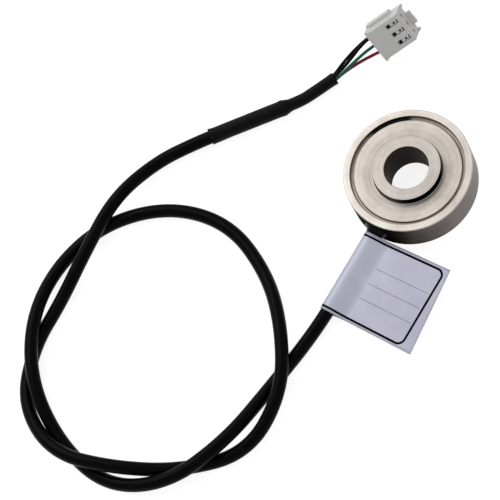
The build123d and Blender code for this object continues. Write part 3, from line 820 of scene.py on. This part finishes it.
def sleeve(cable_line):
    """Shrunk tube over the jacket's end and round the leads, puckered at its start and necked at its end."""
    stations = sleeve_stations(*sleeve_line(cable_line))
    bm = bmesh.new()
    add_tube(bm, stations)
    for vertex in bm.verts:
        centre, radius, run, past = min(stations, key=lambda station: (station[0] - vertex.co).length_squared)
        out = vertex.co - centre
        turn = math.atan2(out.z, out.dot(CABLE_SIDE))
        vertex.co = centre + out * (1 + unevenness(vertex.co, turn, run, past) / radius)
        vertex.co.z = max(vertex.co.z, FLOOR_GAP)
    mesh = to_mesh("sleeve", bm)
    mesh.materials.append(soft_plastic(
        "sleeve_matt", (0.0018, 0.0018, 0.0022), roughness=0.50, grain=0.8, grain_scale=1400.0,
        Specular_IOR_Level=0.10,
    ))
    piece = add_piece("sleeve", mesh, "shrink_sleeve")
    add_wall(piece, "wall", SLEEVE_WALL, -1.0)
    return piece


# Connector, in millimetres along its own axes: towards the mating end, across the row, out of the windows
HOUSING_ORIGIN = Vector((-26.96, 26.48, 5.14775))
HOUSING_M = Vector((0.565876, 0.724289, 0.393942))
HOUSING_W = Vector((-0.724627, 0.208962, 0.656697))
HOUSING_N = Vector((0.393319, -0.65707, 0.643085))
PITCH = 2.5
TONGUE_START = 6.5
TONGUE_END = 8.6
TONGUE_HALF_W = 0.5
TONGUE_LOW = 1.6
TONGUE_TOP = 2.4
TONGUE_ROUND = 0.06
EYE_AT = 7.8
EYE_ROOM = 0.38
EYE_R = 0.31
EYE_FLOOR = 2.1
EYELET_R = 0.5
EYE_STEPS = 28
GAP_END = 9.1
EDGE_ROUND_M = 0.00008
EDGE_ANGLE = 35.0


def housing_body(material):
    """Copy of the CAD housing with its loose triangles merged and its edges softly rounded."""
    bm = bmesh.new()
    bm.from_mesh(nodes["connector_housing"].data)
    bmesh.ops.remove_doubles(bm, verts=bm.verts, dist=CAD_MERGE_M)
    bmesh.ops.dissolve_limit(bm, angle_limit=math.radians(1.0), verts=bm.verts, edges=bm.edges)
    mesh = bpy.data.meshes.new("housing")
    bm.to_mesh(mesh)
    bm.free()
    mesh.materials.append(material)
    piece = add_piece("housing", mesh, "connector_housing")
    edge = piece.modifiers.new("edge", "BEVEL")
    edge.width = EDGE_ROUND_M
    edge.segments = 2
    edge.limit_method = "ANGLE"
    edge.angle_limit = math.radians(EDGE_ANGLE)
    edge.use_clamp_overlap = True
    return piece


def tongue_block(bm, start, end, top):
    """Adds a block of the tongue's width and gives its vertices."""
    size = Matrix.Diagonal((end - start, 2 * TONGUE_HALF_W, top - TONGUE_LOW, 1.0))
    centre = Matrix.Translation(((start + end) / 2, 0.0, (TONGUE_LOW + top) / 2))
    return bmesh.ops.create_cube(bm, size=1.0, matrix=centre @ size)["verts"]


def eyelet(bm):
    """Adds the round eye with its closed bottom, and gives its inner wall and bottom, which are painted dark
    as the shade in the eye.
    """
    known = set(bm.faces)
    outline = [(EYELET_R, TONGUE_LOW), (EYELET_R, TONGUE_TOP), (EYE_R, TONGUE_TOP), (EYE_R, EYE_FLOOR)]
    first = [bm.verts.new((EYE_AT + r, 0.0, z)) for r, z in outline]
    edges = [bm.edges.new(pair) for pair in zip(first, first[1:])]
    bmesh.ops.spin(
        bm, geom=first + edges, cent=(EYE_AT, 0, 0), axis=(0, 0, 1), dvec=(0, 0, 0), angle=math.tau,
        steps=EYE_STEPS, use_merge=True, use_duplicate=False,
    )
    walls = [face for face in bm.faces if face not in known]
    rims = [edge for face in walls for edge in face.edges if edge.is_boundary]
    ends = bmesh.ops.holes_fill(bm, edges=rims, sides=EYE_STEPS)["faces"]
    dark = []
    for face in walls + ends:
        centre = face.calc_center_median()
        if math.hypot(centre.x - EYE_AT, centre.y) < EYE_R and centre.z > EYE_FLOOR - ON_EDGE:
            dark.append(face)
    return dark


def contact(number, tin, shade):
    """Crimp contact with the raised tongue in its window and the round eye in it, with painted shade: the
    eye's inside and a block in the gap past the tongue are dark.
    """
    bm = bmesh.new()
    bm.from_mesh(nodes[f"crimp_contact_{number}"].data)
    bmesh.ops.remove_doubles(bm, verts=bm.verts, dist=CAD_MERGE_M)
    bmesh.ops.scale(bm, vec=(1 / MM, 1 / MM, 1 / MM), verts=bm.verts)
    place = placed(HOUSING_ORIGIN, HOUSING_M, HOUSING_W, HOUSING_N)
    place = place @ Matrix.Translation((0.0, (2 - number) * PITCH, 0.0))
    bmesh.ops.transform(bm, matrix=place.inverted(), verts=bm.verts)
    for start, end in ((TONGUE_START, EYE_AT - EYE_ROOM), (EYE_AT + EYE_ROOM, TONGUE_END)):
        bmesh.ops.bevel(
            bm, geom=edges_of(tongue_block(bm, start, end, TONGUE_TOP)), offset=TONGUE_ROUND, segments=2,
            profile=0.5, affect="EDGES", material=-1,
        )
    gap = tongue_block(bm, TONGUE_END, GAP_END, EYE_FLOOR)
    # Painted shade: the eye's inside and the block in the gap take the dark finish
    dark = eyelet(bm) + [face for vertex in gap for face in vertex.link_faces]
    for face in dark:
        face.material_index = 1
    bmesh.ops.transform(bm, matrix=place, verts=bm.verts)
    mesh = to_mesh(f"contact_{number}", bm, smooth=False)
    mesh.materials.append(tin)
    mesh.materials.append(shade)
    return add_piece(f"contact_{number}", mesh, f"crimp_contact_{number}")


# Floor, light and world
FLOOR_HALF_M = 1.6
FLOOR_DROP_M = 0.00002
FLOOR_GREY = 0.36
FLOOR_SEEN = 0.84
WORLD_STRENGTH = 0.66
KEY_SIZE_M = 0.6
KEY_POWER_W = 1.65
KEY_COLOUR = (1.0, 0.99, 0.975)
KEY_PLACE = (-0.46, 0.06, 0.50)
KEY_AIM = Vector((-0.02, -0.04, 0.0))


def stage():
    """Floor that is white to the camera and in reflections, and keeps the object's shadow."""
    bm = bmesh.new()
    bmesh.ops.create_grid(bm, x_segments=1, y_segments=1, size=FLOOR_HALF_M)
    mesh = bpy.data.meshes.new("floor")
    bm.to_mesh(mesh)
    bm.free()
    floor = bpy.data.objects.new("floor", mesh)
    floor.location.z = -FLOOR_DROP_M
    scene.collection.objects.link(floor)
    white = Finish("floor_white")
    ray = white.add("ShaderNodeLightPath").outputs
    mirrored = white.math("MAXIMUM", ray["Is Glossy Ray"], ray["Is Transmission Ray"])
    seen = white.math("MAXIMUM", ray["Is Camera Ray"], mirrored)
    white.set(
        Base_Color=(FLOOR_GREY, FLOOR_GREY, FLOOR_GREY, 1.0),
        Roughness=0.9,
        Specular_IOR_Level=0.0,
        Emission_Color=(*WHITE, 1.0),
        Emission_Strength=white.math("MULTIPLY", seen, FLOOR_SEEN),
    )
    mesh.materials.append(white.material)


def lights():
    """Plain white world and one soft key light."""
    world = bpy.data.worlds.new("studio")
    world.use_nodes = True
    scene.world = world
    background = world.node_tree.nodes["Background"]
    background.inputs["Color"].default_value = (*WHITE, 1.0)
    background.inputs["Strength"].default_value = WORLD_STRENGTH
    data = bpy.data.lights.new("key", "AREA")
    data.shape = "DISK"
    data.size = KEY_SIZE_M
    data.energy = KEY_POWER_W
    data.color = KEY_COLOUR
    lamp = bpy.data.objects.new("key", data)
    lamp.location = KEY_PLACE
    lamp.rotation_euler = (KEY_AIM - lamp.location).to_track_quat("-Z", "Y").to_euler()
    scene.collection.objects.link(lamp)
    scene.view_settings.view_transform = "Standard"


def cord_finishes():
    """Material of the cable's jacket, and of each lead by its node's name."""
    rubber = (0.0012, 0.0012, 0.0016)
    jacket = soft_plastic(
        "jacket_black", rubber, roughness=0.30, grain=0.18, grain_scale=1800.0, shade=0.6,
        Specular_IOR_Level=0.05,
    )
    black, green, red = [
        soft_plastic(name, colour, roughness, grain=0.12, grain_scale=2500.0, Specular_IOR_Level=shine)
        for name, colour, roughness, shine in (
            ("lead_black", rubber, 0.32, 0.06),
            ("lead_green", (0.0, 0.125, 0.07), 0.34, 0.2),
            ("lead_red", (0.32, 0.0, 0.04), 0.34, 0.2),
        )
    ]
    return jacket, {"lead_black_1": black, "lead_black_2": black, "lead_green": green, "lead_red": red}


def connector():
    """The housing and its three contacts."""
    nylon = soft_plastic(
        "nylon", (0.60, 0.60, 0.59), roughness=0.40, grain=0.15, grain_scale=900.0, shade=0.94,
        Subsurface_Weight=0.15, Subsurface_Scale=0.0010, Specular_IOR_Level=0.35,
    )
    tin = plain_metal("tinned_strip", (0.72, 0.69, 0.60), roughness=0.32)
    shade = plain_metal("strip_in_shade", (0.02, 0.018, 0.012), roughness=0.5)
    return housing_body(nylon), [contact(number, tin, shade) for number in (1, 2, 3)]


def dress_inner_pieces(colours):
    """Finishes of the CAD nodes inside the ring, with each core in its lead's colour."""
    foil = soft_plastic("gauge_film", (0.62, 0.38, 0.12), roughness=0.4, grain=0.2, grain_scale=2000.0)
    board = soft_plastic("board_laminate", (0.06, 0.26, 0.12), roughness=0.5, grain=0.2, grain_scale=3000.0)
    silicone = soft_plastic("seal_silicone", (0.5, 0.5, 0.48), roughness=0.5, grain=0.2, grain_scale=1500.0)
    for number in (1, 2, 3, 4):
        dress(f"strain_gauge_{number}", foil)
    dress("terminal_board", board)
    dress("bridge_wires", plain_metal("enamelled_copper", (0.62, 0.25, 0.09), roughness=0.3))
    dress("solder_joints", plain_metal("solder", (0.72, 0.72, 0.72), roughness=0.25))
    dress("base_cover", plain_metal("cover_sheet", (0.56, 0.54, 0.52), roughness=0.38))
    dress("skirt_seal", silicone)
    for lead, colour in colours.items():
        dress(lead.replace("lead", "core"), colour)


def main():
    """Makes the camera and cords first, then the pieces, and gives each cord its material in place of its CAD
    node.
    """
    set_camera()
    cable = round_cord("cable", CABLE_ROUTE, CABLE_D)
    leads = {}
    for name, route in LEAD_ROUTES.items():
        leads[name] = round_cord(name.replace("lead", "wire"), route, LEAD_D)

    ring_body()
    label = folded_label()
    sealant_bead()
    tube = sleeve(centreline(cable))
    housing, contacts = connector()

    jacket, colours = cord_finishes()
    cable.data.materials.append(jacket)
    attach(cable, "root")
    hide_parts("cable_jacket")
    for name, wire in leads.items():
        wire.data.materials.append(colours[name])
        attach(wire, "root")
        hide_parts(name)

    dress_inner_pieces(colours)
    stage()
    lights()


main()
